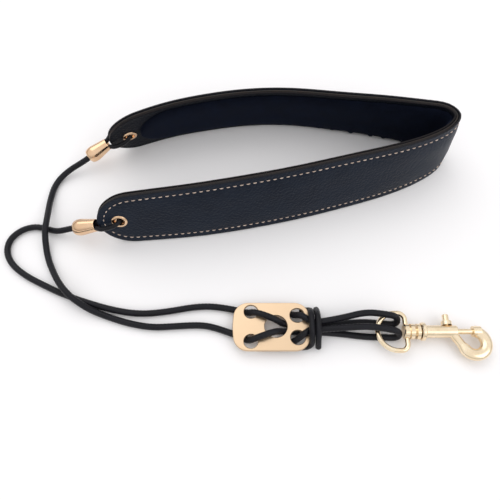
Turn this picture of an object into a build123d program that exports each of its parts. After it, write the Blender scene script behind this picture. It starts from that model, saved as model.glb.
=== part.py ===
"""Adjustable saxophone neck strap: a padded neck band, two end ferrules, one drawn cord with its
sliding adjuster plate, and a swivelling bolt snap hook. Millimetres, +Z up.

The strap lies as it is put down on a table: the band stands on its lower edge and is folded in
two, its ends point to -X, and the cord, the plate and the hook lie flat in front of it, with the
hook at +X. The origin is the middle of the underside of the strap without its free cords."""
from build123d import *
from math import cos, exp, pi, radians, sin, sqrt, tan
import os

os.makedirs("parts", exist_ok=True)

# ---------------------------------------------------------------- driving dimensions
cord_d = 4.0                    # braided cord
tight_cord_d = 3.0              # the same cord where a ferrule or a hitch squeezes it
touch_gap = 0.15                # air between pieces that only lie against each other

band_width = 45.0               # neck band, full width
band_end_width = 39.0           # band width just behind its rounded ends
taper_length = 95.0             # length over which the band narrows to its ends
tip_length = 22.0               # length of the rounded end
outer_leather_t = 1.3
core_t = 1.8
backing_t = 1.2
lining_t = 2.2
lining_inset = 4.0              # leather margin left round the lining
lining_start = 22.5             # bare leather left at each end, for the eyelet
arm_lean = 13.0                 # the two arms lean towards each other, degrees
fold_lean = 4.0                 # lean of the band at its fold, degrees
fold_spread = 60.0              # half length of band over which the lean changes

eyelet_inset = 14.0             # eyelet centre from the end of the band
eyelet_bore = 6.2
eyelet_barrel_d = 7.2
eyelet_flange_d = 10.0
eyelet_flange_t = 0.7

ferrule_length = 16.0
ferrule_hinge = 14.6            # where the end loop leaves the band, from the eyelet centre
ferrule_mouth = 2.1             # ferrule mouth from there
ferrule_mouth_d = 8.2
ferrule_max_d = 10.8
ferrule_wall = 0.65
ferrule_end_d = 7.8
ferrule_dip = 18.0              # slope of the end loop and ferrule towards the table, degrees
ferrule_swing = 11.0            # turn of the ferrule towards the other arm, degrees
loop_depth = 9.0                # how far the end loop reaches into the ferrule
cord_seat = 6.0                 # how far the cord reaches into the ferrule

plate_length = 46.6
plate_width = 29.6
plate_t = 2.0
plate_corner = 9.0
plate_bulge = 2.2               # how far each plate end bows out
plate_x = -1.4                   # plate centre
plate_y = -70.4
plate_underside = 4.6
left_hole_d = 8.4
left_hole_x = -12.3             # from the plate centre
left_hole_y = 9.1
right_hole_d = 8.8
right_hole_x = 15.5
right_hole_y = 6.8
centre_hole_d = 13.6
centre_hole_x = 2.6
hole_bevel = 0.3

axis_y = -73.5                  # common axis of eye, hook and bolt
axis_z = 6.0
ring_wire_d = 3.0
ring_left = 61.5                # centre of the wire at the cord side
ring_right = 78.5               # centre of the wire at the neck side
ring_height = 22.8              # centre to centre across the eye
ring_corner = 4.0
neck_d = 9.2
neck_start = 76.7
neck_groove_1 = (79.5, 80.5, 6.8)
neck_groove_2 = (82.7, 84.3, 5.4)
neck_end = 86.6
stud_d = 2.9
stud_head_d = 4.2
stud_head_t = 0.8

cap_start = 87
cap_t = 2.4
cap_d = 10.8
cap_pocket = 1.2                # depth of the cap's seat for the shank
shank_d = 7.3
shank_end = 108.5
chamber_d = 4.6
guide_start = 101.5
running_gap = 0.1               # air round a shaft that turns or slides
bolt_d = 3.3
bolt_tip = 119.1
bolt_collar_t = 0.8
bolt_travel = 8.0
washer_t = 0.35
spring_wire_d = 0.35
spring_turns = 7
thumb_x = 103.1
thumb_stem_d = 2.2
thumb_pad_d = 6.2
thumb_pad_t = 2.6
thumb_knob_d = 3.8
thumb_height = 10.4             # knob end from the bolt axis
hook_centre_x = 117.5
hook_centre_y = -80.3
hook_radius = 7.1
hook_width = 7.0                # the bend is wider than it is thick
hook_thickness = 5.4
hook_neck_d = 5.0
neck_taper = 3.2                # from the bend to the full neck
neck_length = 6.8               # straight neck into the shank's wall
nose_start = 117.7
nose_length = 4.6
nose_d = 6.4
nose_socket = 1.7

# Plan of the band's mid surface along the table, from the front end round the fold to the back end.
band_route = [
    (-109.7, -10), (-96.5, -9.4), (-80.5, -8.2), (-47.5, -5), (-14.5, 0.6), (19.5, 8.3), (53.5, 18.1),
    (89.5, 31.1), (106.5, 40.1), (118, 49.6), (121.8, 58.1), (116.5, 67.1), (103.5, 72.1),
    (79.5, 78.1), (43.5, 84.8), (13.5, 88.5), (-14.5, 88.1), (-47.5, 83.1), (-70.5, 77.6),
    (-87.5, 71.7), (-97.5, 67.7), (-112.3, 62.2),
]


# ---------------------------------------------------------------- cord tube
def cord_path(points):
    """Centreline through hand-chosen points: straight runs joined by the largest tangent arcs."""
    vectors = [Vector(*point) for point in points]
    radii = []
    for before, corner, after in zip(vectors, vectors[1:], vectors[2:]):
        run_in = corner - before
        run_out = after - corner
        half_turn = radians(run_in.get_angle(run_out)) / 2
        radii.append(0.45 * min(run_in.length, run_out.length) / tan(half_turn))
    return FilletPolyline(*vectors, radius=radii), radii


def cord_tube(name, points, diameter):
    """Round tube along the points, written as a node of its own."""
    with BuildPart() as tube:
        with BuildLine():
            line, radii = cord_path(points)
        with BuildSketch(Plane(origin=line @ 0, z_dir=line % 0)):
            Circle(diameter / 2)
        sweep(path=line)
    ratio = tube.part.volume / (line.length * pi * diameter ** 2 / 4)
    print(f"{name}: length {line.length:.1f}, tightest bend {min(radii):.1f}, fill {ratio:.3f}")
    save(tube.part, name)


def save(part, name):
    """Label a finished piece and write it as its own STEP file."""
    part.label = name
    export_step(part, f"parts/{name}.step")


# ---------------------------------------------------------------- neck band
with BuildLine() as band_plan:
    band_line = Spline(*band_route)
band_length = band_line.length
fold_at = band_length / 2
leather_t = outer_leather_t + core_t + backing_t


def band_lean(s):
    """Lean towards the inside at a distance along the band, in degrees."""
    return arm_lean - (arm_lean - fold_lean) * exp(-(((s - fold_at) / fold_spread) ** 2))


def band_frame(s):
    """Point on the table, run direction, inward normal and lean at a distance along the band."""
    origin = band_line.position_at(s, position_mode=PositionMode.LENGTH)
    run = band_line.tangent_at(s, position_mode=PositionMode.LENGTH)
    inward = Vector(0, 0, 1).cross(run)
    return origin, run, inward, radians(band_lean(s))


def band_width_at(end_distance):
    """Width of the band at a distance from its nearer end, before the end is rounded."""
    short_of_full = max(0.0, 1 - end_distance / taper_length)
    return band_width - (band_width - band_end_width) * short_of_full ** 2


def band_point(s, depth, height):
    """Point at a depth from the mid surface, inwards, and a height up the leaning band."""
    origin, run, inward, lean = band_frame(s)
    foot = leather_t / 2 * sin(lean)
    across = depth * cos(lean) + height * sin(lean)
    return origin + inward * across + Vector(0, 0, height * cos(lean) - depth * sin(lean) + foot)


def band_stations(start):
    """Section places that all layers share, close together in each rounded end."""
    steps = [0.02, 0.1, 0.22, 0.4, 0.62, 0.82, 1.0]
    near = [base + tip_length * step for base in (0, lining_start) for step in steps]
    count = 44
    span = band_length - 2 * near[-1]
    middle = [near[-1] + span * i / count for i in range(1, count)]
    near = [s for s in near if s > start]
    return near + middle + [band_length - s for s in reversed(near)]


def band_corners(s, depth_out, depth_in, start, inset):
    """Four corners of one layer's leaning cross-section at a distance along the band."""
    end_distance = min(s, band_length - s)
    width = band_width_at(end_distance)
    round_off = max(0.0, 1 - (end_distance - start) / tip_length)
    half = (width / 2 - inset) * sqrt(1 - round_off ** 2)
    low = width / 2 - half
    high = width / 2 + half
    order = ((depth_out, low), (depth_in, low), (depth_in, high), (depth_out, high))
    return [band_point(s, depth, height) for depth, height in order]


def band_layer(depth_out, depth_in, start, inset):
    """One layer of the band. Its cross-sections turn through more than half a circle, which a loft
    folds over on itself, so each span between two sections is closed by four ruled faces."""
    rings = [band_corners(s, depth_out, depth_in, start, inset) for s in band_stations(start)]
    faces = [Face(Wire.make_polygon(rings[0])), Face(Wire.make_polygon(rings[-1]))]
    for ring, next_ring in zip(rings, rings[1:]):
        runs = [Edge.make_line(near, far) for near, far in zip(ring, next_ring)]
        for run, next_run in zip(runs, runs[1:] + runs[:1]):
            faces.append(Face.make_surface_from_curves(run, next_run))
    return Solid(Shell(faces))


def eyelet_plane(s):
    """Plane at an eyelet: origin on the mid surface, Z out of the outer face, X along the band."""
    origin, run, inward, lean = band_frame(s)
    centre = band_point(s, 0, band_width_at(eyelet_inset) / 2)
    face_out = inward * -cos(lean) + Vector(0, 0, sin(lean))
    return Plane(origin=centre, x_dir=run, z_dir=face_out)


front_eyelet_plane = eyelet_plane(eyelet_inset)
back_eyelet_plane = eyelet_plane(band_length - eyelet_inset)

depth_0 = -leather_t / 2
depth_1 = depth_0 + outer_leather_t
depth_2 = depth_1 + core_t
depth_3 = depth_2 + backing_t
for name, depth_out, depth_in in (
    ("outer_leather", depth_0, depth_1),
    ("foam_core", depth_1, depth_2),
    ("backing_leather", depth_2, depth_3),
):
    with BuildPart() as band_piece:
        add(band_layer(depth_out, depth_in, 0, 0))
        with Locations(front_eyelet_plane, back_eyelet_plane):
            Cylinder(eyelet_barrel_d / 2, 3 * leather_t, mode=Mode.SUBTRACT)
    save(band_piece.part, name)

glue_line = 0.1
lining_depth = depth_3 + glue_line
lining = band_layer(lining_depth, lining_depth + lining_t, lining_start, lining_inset)
save(lining, "lining_pad")


# ---------------------------------------------------------------- eyelets and their washers
flange_seat = leather_t / 2 + 0.12


def eyelet(plane):
    """Brass eyelet: a barrel through the band with a rounded flange on the outer face."""
    with BuildPart() as piece:
        with BuildSketch(plane * Plane.XZ):
            with BuildLine():
                Polyline(
                    (eyelet_bore / 2, -flange_seat - eyelet_flange_t),
                    (eyelet_bore / 2, flange_seat + eyelet_flange_t),
                    (eyelet_flange_d / 2 - eyelet_flange_t / 2, flange_seat + eyelet_flange_t),
                    (eyelet_flange_d / 2, flange_seat),
                    (eyelet_barrel_d / 2, flange_seat),
                    (eyelet_barrel_d / 2, -flange_seat - eyelet_flange_t),
                    close=True,
                )
            make_face()
        revolve(axis=Axis(plane.origin, plane.z_dir))
    return piece.part


def eyelet_washer(plane):
    """Flat washer over the barrel on the inner face, held by the rolled end of the barrel."""
    with BuildPart() as piece:
        with BuildSketch(plane.offset(-flange_seat - eyelet_flange_t)):
            Circle(eyelet_flange_d / 2)
            Circle(eyelet_barrel_d / 2, mode=Mode.SUBTRACT)
        extrude(amount=eyelet_flange_t)
    return piece.part


# ---------------------------------------------------------------- ferrules and end loops
def loop_direction(plane, outward):
    """Direction from an eyelet past the band's end, in the plane of the band and dipping."""
    up = plane.y_dir if plane.y_dir.Z > 0 else plane.y_dir * -1
    dip = radians(ferrule_dip)
    return (plane.x_dir * outward * cos(dip) - up * sin(dip)).normalized()


def ferrule(centre, direction, side):
    """Bell-shaped metal ferrule: wide mouth for the end loop, rounded shoulder round the cord."""
    end = ferrule_mouth + ferrule_length
    waist = end - 4.6
    seat = end - cord_seat
    loop_bore = ferrule_mouth_d / 2 - ferrule_wall
    with BuildPart() as piece:
        with BuildSketch(Plane(origin=centre, x_dir=side, z_dir=side.cross(direction))):
            with BuildLine():
                Polyline(
                    (loop_bore, ferrule_mouth + 1.2),
                    (loop_bore + 0.45, ferrule_mouth),
                    (ferrule_mouth_d / 2, ferrule_mouth),
                    (ferrule_max_d / 2, waist),
                )
                RadiusArc((ferrule_max_d / 2, waist), (ferrule_end_d / 2, end), -5.6)
                Polyline(
                    (ferrule_end_d / 2, end),
                    (cord_d / 2 + 0.02, end),
                    (cord_d / 2 + 0.02, seat),
                    (loop_bore, seat - 1.2),
                    (loop_bore, ferrule_mouth + 1.2),
                )
            make_face()
        revolve(axis=Axis(centre, direction))
    return piece.part


def end_loop_points(plane, loop_run, hinge, direction, side):
    """Loop of cord from the ferrule over the band's end, through the eyelet and back again."""
    stand_off = flange_seat + eyelet_flange_t + tight_cord_d / 2 + 2 * touch_gap
    pair = tight_cord_d / 2 + touch_gap / 2
    points = []
    for face in (1, -1):
        over_eyelet = plane.z_dir * face * stand_off
        over_tip = plane.z_dir * face * (stand_off + 0.75)
        in_ferrule = side * face * pair
        half = [
            hinge + direction * (ferrule_mouth + loop_depth) + in_ferrule,
            hinge + direction * (ferrule_mouth + 0.4) + in_ferrule,
            plane.origin + loop_run * (ferrule_hinge - 2.2) + over_tip,
            plane.origin + over_eyelet,
        ]
        points += half if face == 1 else reversed(half)
    return points


cord_starts = []
for end, plane, outward in (("front", front_eyelet_plane, -1), ("back", back_eyelet_plane, 1)):
    loop_run = loop_direction(plane, outward)
    hinge = plane.origin + loop_run * ferrule_hinge
    swing = radians(ferrule_swing)
    direction = loop_run * cos(swing) - plane.z_dir * sin(swing)
    side = plane.z_dir * cos(swing) + loop_run * sin(swing)
    save(eyelet(plane), f"eyelet_{end}")
    save(eyelet_washer(plane), f"eyelet_washer_{end}")
    save(ferrule(hinge, direction, side), f"ferrule_{end}")
    points = end_loop_points(plane, loop_run, hinge, direction, side)
    cord_tube(f"end_loop_{end}", points, tight_cord_d)
    seat = hinge + direction * (ferrule_mouth + ferrule_length - cord_seat + touch_gap)
    exit_point = hinge + direction * (ferrule_mouth + ferrule_length)
    cord_starts.append((seat, exit_point, direction))
    print(end, "cord seat", seat, "exit", exit_point, "direction", direction)


# ---------------------------------------------------------------- free cords
# Each cord leaves its ferrule, drops to the table and runs to the underside of the plate.
# The back cord passes over the front cord twice, on a low hump each time.
lying_z = cord_d / 2 + 0.1
front_cord_route = [
    (-141, -5.5, 4.4), (-149, -2.1, lying_z), (-157, -0.3, lying_z), (-165.5, -2.9, lying_z),
    (-171.9, -9.9, lying_z), (-172.1, -19.4, lying_z), (-166.5, -28.4, lying_z),
    (-156.5, -35.9, lying_z), (-143.5, -42.5, lying_z), (-130.5, -48.5, lying_z),
    (-115.5, -53.8, lying_z), (-98.5, -58.8, lying_z), (-81.5, -61.5, lying_z),
    (-64.5, -59.8, lying_z), (-47.5, -56.5, lying_z), (-33.5, -56.5, lying_z), (-22.5, -58.9, lying_z),
]
back_cord_route = [
    (-140, 43.2, 4.8), (-146.5, 37.6, lying_z + 0.4), (-149.7, 30.2, lying_z), (-150.1, 19.1, 3.0),
    (-148.4, 7.6, 6.4), (-147.5, 0.1, 8.0), (-147.7, -5.9, 7.4), (-147.1, -14.4, 3.4),
    (-144.1, -24.4, lying_z), (-139.1, -33.4, 3.4), (-132.5, -42.9, 7.2), (-126.9, -49.2, 8.0),
    (-121.3, -53.9, 7.2), (-112.1, -59.1, 3.6), (-100.5, -63.3, lying_z), (-87, -67.5, lying_z),
    (-73, -69.9, lying_z), (-58.5, -69, lying_z), (-44, -68.2, lying_z),
    (-33.5, -70.3, lying_z), (-23.3, -74.5, lying_z),
]
for name, (seat, exit_point, direction), route in (
    ("cord_front", cord_starts[0], front_cord_route),
    ("cord_back", cord_starts[1], back_cord_route),
):
    straight_out = exit_point + direction * 5
    cord_tube(name, [tuple(seat), tuple(straight_out)] + route, cord_d)


# ---------------------------------------------------------------- adjuster plate
plate_top = plate_underside + plate_t
left_holes = [(left_hole_x, left_hole_y), (left_hole_x, -left_hole_y)]
right_holes = [(right_hole_x, right_hole_y), (right_hole_x, -right_hole_y)]
with BuildPart() as adjuster_plate:
    with BuildSketch(Plane.XY.offset(plate_underside)) as plate_outline:
        with BuildLine(Plane.XY):
            half_x = plate_length / 2 - plate_bulge
            half_y = plate_width / 2
            Line((-half_x, half_y), (half_x, half_y))
            ThreePointArc((half_x, half_y), (half_x + plate_bulge, 0), (half_x, -half_y))
            Line((half_x, -half_y), (-half_x, -half_y))
            ThreePointArc((-half_x, -half_y), (-half_x - plate_bulge, 0), (-half_x, half_y))
        make_face()
        fillet(plate_outline.vertices(), plate_corner)
    extrude(amount=plate_t)
    for holes, diameter in (
        (left_holes, left_hole_d),
        (right_holes, right_hole_d),
        ([(centre_hole_x, 0)], centre_hole_d),
    ):
        with Locations(*[(x, y, plate_top) for x, y in holes]):
            Hole(diameter / 2)
    faces = adjuster_plate.faces().filter_by(Axis.Z)
    chamfer(faces.edges(), hole_bevel)
save(Pos(plate_x, plate_y, 0) * adjuster_plate.part, "adjuster_plate")


# ---------------------------------------------------------------- cord laced through the plate
over_z = plate_top + cord_d / 2 + touch_gap
pair_y = cord_d / 2 + 0.05      # half the spacing of two cords lying side by side
lace_end_x = 25.5               # where the laced cord leaves the plate for the eye
dive_x = plate_x + centre_hole_x + centre_hole_d / 2 - 4.6
rise = 2.6                      # half the plan length of the slope through a hole


def lacing(side, entry):
    """Cord from under the plate up the left hole, over the face and down the centre hole."""
    hole_x = plate_x + left_hole_x
    hole_y = plate_y + side * left_hole_y
    return [
        (hole_x - rise - 5.2, hole_y + entry, lying_z),
        (hole_x - rise + 0.2, hole_y + 0.25 * entry, lying_z),
        (hole_x + rise, hole_y - side * 1.0, over_z + 0.5),
        (dive_x - rise, plate_y + side * (pair_y + 1.6), over_z + 0.45),
        (dive_x + rise + 0.6, plate_y + side * pair_y, lying_z),
        (lace_end_x, plate_y + side * (pair_y + 0.1), lying_z),
    ]


def tail(side):
    """End of the cord from under the plate, up the right hole and over the plate's edge."""
    hole_x = plate_x + right_hole_x
    hole_y = plate_y + side * right_hole_y
    return [
        (hole_x - rise - 3.6, hole_y + side * 3.0, lying_z),
        (hole_x - rise + 0.3, hole_y + side * 1.6, lying_z),
        (hole_x + rise - 0.3, hole_y - side * 0.6, over_z + 0.4),
        (lace_end_x - 4.2, plate_y + side * (pair_y + 0.6), over_z - 0.1),
        (lace_end_x, plate_y + side * (pair_y + 0.1), tail_end_z),
    ]


tail_end_z = over_z - 1.6
for name, side, entry in (("front", 1, 2.2), ("back", -1, 4.6)):
    cord_tube(f"lacing_{name}", lacing(side, entry), cord_d)
    cord_tube(f"tail_{name}", tail(side), cord_d)

# The hitch that holds the strands: two turns across all four, tucked under the plate's corners.
hitch_d = 3.6
hitch_top = tail_end_z + 1.3 + cord_d / 2 + hitch_d / 2 + touch_gap
for index in range(2):
    x = lace_end_x - 3.6 + index * (hitch_d + 0.1)
    tuck = 6.0
    points = [
        (x - tuck, plate_y + 11.0, lying_z + 0.1),
        (x + 0.6, plate_y + 11.8, lying_z + 0.5),
        (x, plate_y + 6.8, hitch_top - 0.2),
        (x + 0.2, plate_y, hitch_top + 0.5),
        (x, plate_y - 6.8, hitch_top - 0.2),
        (x + 0.6, plate_y - 11.8, lying_z + 0.5),
        (x - tuck, plate_y - 11.6, lying_z + 0.1),
    ]
    if index == 1:
        points = points[1:-1]
    cord_tube(f"hitch_turn_{index + 1}", points, hitch_d)


# ---------------------------------------------------------------- cord bights round the eye
# One bight of each cord goes out under the eye's left arc, turns inside the eye and comes back
# over the arc, so that the eye hangs in both bights.
bight_end_x = 74.2
feed_gap = 0.6                  # gap where the cord passes from one moving group to the next
arc_under_z = lying_z
arc_over_z = axis_z + ring_wire_d / 2 + cord_d / 2 + 0.7


def bight(side, y_low, y_turn_low, y_turn_high, y_high):
    """Bight of one cord: out under the eye's arc, round inside the eye, back over the arc."""
    y_start = plate_y + side * (pair_y + 0.1)
    return [
        (lace_end_x + feed_gap, y_start, lying_z),
        (lace_end_x + 15, y_start + 0.4 * (y_low - y_start), lying_z),
        (ring_left - 8, y_low, arc_under_z),
        (ring_left + 3, 0.5 * (y_low + y_turn_low), arc_under_z),
        (bight_end_x, y_turn_low, arc_under_z + 0.2),
        (bight_end_x - 0.4, y_turn_high, arc_over_z - 1.2),
        (ring_left + 4, 0.5 * (y_high + y_turn_high), arc_over_z + 0.1),
        (ring_left - 7, y_high, arc_over_z),
        (lace_end_x + 15, 0.4 * y_high + 0.6 * y_start, over_z + 0.2),
        (lace_end_x + 2 * feed_gap, y_start, tail_end_z),
    ]


cord_tube("bight_front", bight(1, -66.3, -68.2, -65.1, -62.8), cord_d)
cord_tube("bight_back", bight(-1, -75.5, -76.3, -74.3, -71.5), cord_d)


# ---------------------------------------------------------------- eye with its swivel neck
def turned(profile):
    """Solid of revolution about the hook axis from (place along the axis, radius) points."""
    with BuildPart() as piece:
        with BuildSketch(Plane(origin=(0, axis_y, axis_z), x_dir=(1, 0, 0), z_dir=(0, -1, 0))):
            with BuildLine():
                Polyline(*profile, close=True)
            make_face()
        revolve(axis=Axis((0, axis_y, axis_z), (1, 0, 0)))
    return piece.part


groove_1_from, groove_1_to, groove_1_d = neck_groove_1
groove_2_from, groove_2_to, groove_2_d = neck_groove_2
head_start = cap_start + cap_t - cap_pocket + running_gap
stud_profile = [
    (neck_start, 0), (neck_start, neck_d / 2 - 0.8), (neck_start + 0.5, neck_d / 2),
    (groove_1_from, neck_d / 2), (groove_1_from, groove_1_d / 2),
    (groove_1_to, groove_1_d / 2), (groove_1_to, neck_d / 2),
    (groove_2_from, neck_d / 2), (groove_2_from, groove_2_d / 2),
    (groove_2_to, groove_2_d / 2), (groove_2_to, neck_d / 2),
    (neck_end - 0.4, neck_d / 2), (neck_end, neck_d / 2 - 0.4), (neck_end, stud_d / 2),
    (head_start, stud_d / 2), (head_start, stud_head_d / 2),
    (head_start + stud_head_t, stud_head_d / 2), (head_start + stud_head_t, 0),
]
with BuildPart() as swivel_eye:
    with BuildLine(Plane((0, axis_y, axis_z))):
        half_ring = ring_height / 2
        arc_x = ring_left + half_ring
        ring_line = FilletPolyline(
            (arc_x, half_ring), (ring_right, half_ring), (ring_right, -half_ring), (arc_x, -half_ring),
            radius=ring_corner,
        )
        ThreePointArc((arc_x, -half_ring), (ring_left, 0), (arc_x, half_ring))
    with BuildSketch(Plane((arc_x, axis_y + half_ring, axis_z), z_dir=(1, 0, 0))):
        Circle(ring_wire_d / 2)
    sweep()
    add(turned(stud_profile))
save(swivel_eye.part, "swivel_eye")


# ---------------------------------------------------------------- hook base cap and shank
shank_start = cap_start + cap_t - cap_pocket
cap_profile = [
    (cap_start, stud_d / 2 + running_gap), (cap_start, cap_d / 2 - 0.5),
    (cap_start + 0.5, cap_d / 2), (cap_start + cap_t - 0.4, cap_d / 2),
    (cap_start + cap_t, cap_d / 2 - 0.4), (cap_start + cap_t, shank_d / 2),
    (shank_start, shank_d / 2), (shank_start, stud_d / 2 + running_gap),
]
save(turned(cap_profile), "swivel_cap")

guide_d = bolt_d + 2 * running_gap
slot_from = thumb_x - bolt_travel - thumb_stem_d / 2 - 0.2
slot_to = thumb_x + thumb_stem_d / 2 + 0.2
hook_plane = Plane((hook_centre_x, hook_centre_y, axis_z))
with BuildPart() as hook_body:
    with BuildSketch(Plane((shank_start, axis_y, axis_z), x_dir=(0, 1, 0), z_dir=(1, 0, 0))):
        Circle(shank_d / 2)
    extrude(amount=shank_end - shank_start)
    mouth_edges = hook_body.edges().filter_by(GeomType.CIRCLE).sort_by(Axis.X)[-1]
    fillet(mouth_edges, 0.8)
    with BuildLine(hook_plane):
        bend = CenterArc((0, 0), hook_radius, 78, -226)
    with BuildSketch(Plane(origin=bend @ 0, x_dir=(0, 0, 1), z_dir=bend % 0)):
        Ellipse(hook_thickness / 2, hook_width / 2)
    sweep(path=bend)
    neck_plane = Plane(origin=bend @ 1, x_dir=(0, 0, 1), z_dir=bend % 1)
    with BuildSketch(neck_plane):
        Ellipse(hook_thickness / 2, hook_width / 2)
    with BuildSketch(neck_plane.offset(neck_taper)):
        Circle(hook_neck_d / 2)
    loft()
    with BuildSketch(neck_plane.offset(neck_taper)):
        Circle(hook_neck_d / 2)
    extrude(amount=neck_length)
    with BuildSketch(Plane((nose_start, axis_y, axis_z), x_dir=(0, 1, 0), z_dir=(1, 0, 0))):
        Circle(nose_d / 2)
    extrude(amount=nose_length)
    with Locations(Plane((nose_start, axis_y, axis_z), z_dir=(-1, 0, 0))):
        Hole(guide_d / 2, depth=nose_socket)
    guide_mouth = shank_end + 4
    with Locations(Plane((guide_mouth, axis_y, axis_z), z_dir=(1, 0, 0))):
        Hole(guide_d / 2, depth=guide_mouth - shank_start)
    with Locations(Plane((shank_start, axis_y, axis_z), z_dir=(-1, 0, 0))):
        Hole(chamber_d / 2, depth=guide_start - shank_start)
    slot_centre = ((slot_from + slot_to) / 2, axis_y, axis_z)
    with BuildSketch(Plane(slot_centre, x_dir=(1, 0, 0), z_dir=(0, 1, 0))):
        SlotOverall(slot_to - slot_from, thumb_stem_d + 0.4)
    extrude(amount=shank_d, mode=Mode.SUBTRACT)
save(hook_body.part, "hook_body")


# ---------------------------------------------------------------- bolt, thumb stud and spring
collar_start = guide_start - bolt_collar_t - 0.02
with BuildPart() as bolt:
    add(turned([
        (collar_start, 0), (collar_start, chamber_d / 2 - running_gap),
        (collar_start + bolt_collar_t, chamber_d / 2 - running_gap),
        (collar_start + bolt_collar_t, bolt_d / 2), (bolt_tip - 0.5, bolt_d / 2),
        (bolt_tip, bolt_d / 2 - 0.5), (bolt_tip, 0),
    ]))
    with BuildSketch(Plane((thumb_x, axis_y, axis_z), x_dir=(1, 0, 0), z_dir=(0, 1, 0))):
        Circle(thumb_stem_d / 2)
    extrude(amount=bolt_d, mode=Mode.SUBTRACT)
save(bolt.part, "bolt")

with BuildPart() as thumb_stud:
    thumb_seat = shank_d / 2 + 0.15
    stud_plane = Plane((thumb_x, axis_y, axis_z), x_dir=(1, 0, 0), z_dir=(0, 1, 0))
    with BuildSketch(stud_plane):
        Circle(thumb_stem_d / 2)
    extrude(amount=thumb_seat + 0.5)
    with BuildSketch(stud_plane.offset(thumb_seat)):
        Circle(thumb_pad_d / 2)
    extrude(amount=thumb_pad_t)
    with BuildSketch(stud_plane.offset(thumb_seat + thumb_pad_t)):
        Circle(thumb_knob_d / 2)
    extrude(amount=thumb_height - thumb_seat - thumb_pad_t)
    rims = thumb_stud.edges().filter_by(GeomType.CIRCLE).sort_by(Axis.Y)
    fillet([rims[-1], rims[-3]], 0.5)
save(thumb_stud.part, "thumb_stud")

washer_start = head_start + stud_head_t + running_gap
spring_start = washer_start + washer_t
save(
    turned([
        (washer_start, 0.9), (washer_start, chamber_d / 2 - running_gap),
        (spring_start, chamber_d / 2 - running_gap), (spring_start, 0.9),
    ]),
    "spring_washer",
)
spring_radius = (chamber_d - spring_wire_d) / 2 - 0.3
spring_rest = collar_start - spring_start - 0.1
with BuildPart() as bolt_spring:
    coil_height = spring_rest - spring_wire_d
    coil_start = (spring_start + 0.05 + spring_wire_d / 2, axis_y, axis_z)
    coil_pitch = coil_height / spring_turns
    with BuildLine():
        coil = Helix(coil_pitch, coil_height, spring_radius, center=coil_start, direction=(1, 0, 0))
    with BuildSketch(Plane(origin=coil @ 0, z_dir=coil % 0)):
        Circle(spring_wire_d / 2)
    sweep(path=coil, is_frenet=True)
save(bolt_spring.part, "bolt_spring")
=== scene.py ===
import math
import bpy
import numpy as np
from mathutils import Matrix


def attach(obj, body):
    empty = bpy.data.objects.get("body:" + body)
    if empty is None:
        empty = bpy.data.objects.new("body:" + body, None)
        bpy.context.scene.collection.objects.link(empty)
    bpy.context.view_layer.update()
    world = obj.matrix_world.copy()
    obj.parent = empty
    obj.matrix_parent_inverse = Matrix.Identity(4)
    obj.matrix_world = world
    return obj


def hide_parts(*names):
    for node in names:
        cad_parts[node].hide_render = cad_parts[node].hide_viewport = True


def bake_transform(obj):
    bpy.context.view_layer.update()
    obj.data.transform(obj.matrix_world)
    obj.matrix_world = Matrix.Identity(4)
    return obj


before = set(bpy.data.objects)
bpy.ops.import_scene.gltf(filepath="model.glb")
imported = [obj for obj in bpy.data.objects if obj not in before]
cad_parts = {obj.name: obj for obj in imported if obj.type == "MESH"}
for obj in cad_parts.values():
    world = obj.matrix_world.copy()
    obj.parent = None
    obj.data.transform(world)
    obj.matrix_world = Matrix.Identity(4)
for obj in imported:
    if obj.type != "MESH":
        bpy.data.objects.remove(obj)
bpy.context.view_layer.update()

MM = 0.001

# ---------------------------------------------------------------- camera, table and light
# The strap lies on a pale table top, seen from in front and from well above. A big soft light
# hangs over the far left, a weaker one fills from the right, and a pale room surrounds them.
camera_data = bpy.data.cameras.new("camera")
camera_data.lens = 36.0
camera_data.sensor_width = 36.0
camera_data.clip_start = 0.01
camera = bpy.data.objects.new("camera", camera_data)
camera.location = (-0.01425, -0.1601, 0.294)
camera.rotation_euler = (math.radians(26.0), 0.0, 0.0)
bpy.context.collection.objects.link(camera)
bpy.context.scene.camera = camera
bpy.context.scene.view_settings.view_transform = "Standard"


def soft_light(name, place, aim, size, power, colour):
    """Square area light at a place, turned so that it shines at a point."""
    data = bpy.data.lights.new(name, "AREA")
    data.size = size
    data.energy = power
    data.color = colour
    light = bpy.data.objects.new(name, data)
    light.location = place
    away = np.array(place) - np.array(aim)
    light.rotation_euler = (
        math.atan2(math.hypot(away[0], away[1]), away[2]), 0.0, math.atan2(away[0], -away[1])
    )
    bpy.context.collection.objects.link(light)


soft_light("window", (-0.45, 0.7, 1.1), (0, 0, 0), 1.3, 4.6, (1.0, 0.99, 0.98))
soft_light("fill", (0.9, -0.5, 0.9), (0, 0, 0), 0.9, 3.0, (1.0, 0.98, 0.96))

room = bpy.data.worlds.new("room")
room.use_nodes = True
room_nodes, room_links = room.node_tree.nodes, room.node_tree.links
room_nodes["Background"].inputs["Color"].default_value = (0.98, 0.985, 1.0, 1.0)
room_place = room_nodes.new("ShaderNodeTexCoord")
room_height = room_nodes.new("ShaderNodeSeparateXYZ")
room_level = room_nodes.new("ShaderNodeMapRange")
for label, value in (("From Min", 0.0), ("From Max", 0.55), ("To Min", 0.38), ("To Max", 0.98)):
    room_level.inputs[label].default_value = value
room_links.new(room_place.outputs["Generated"], room_height.inputs["Vector"])
room_links.new(room_height.outputs["Z"], room_level.inputs["Value"])
room_links.new(room_level.outputs["Result"], room_nodes["Background"].inputs["Strength"])
bpy.context.scene.world = room

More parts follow.
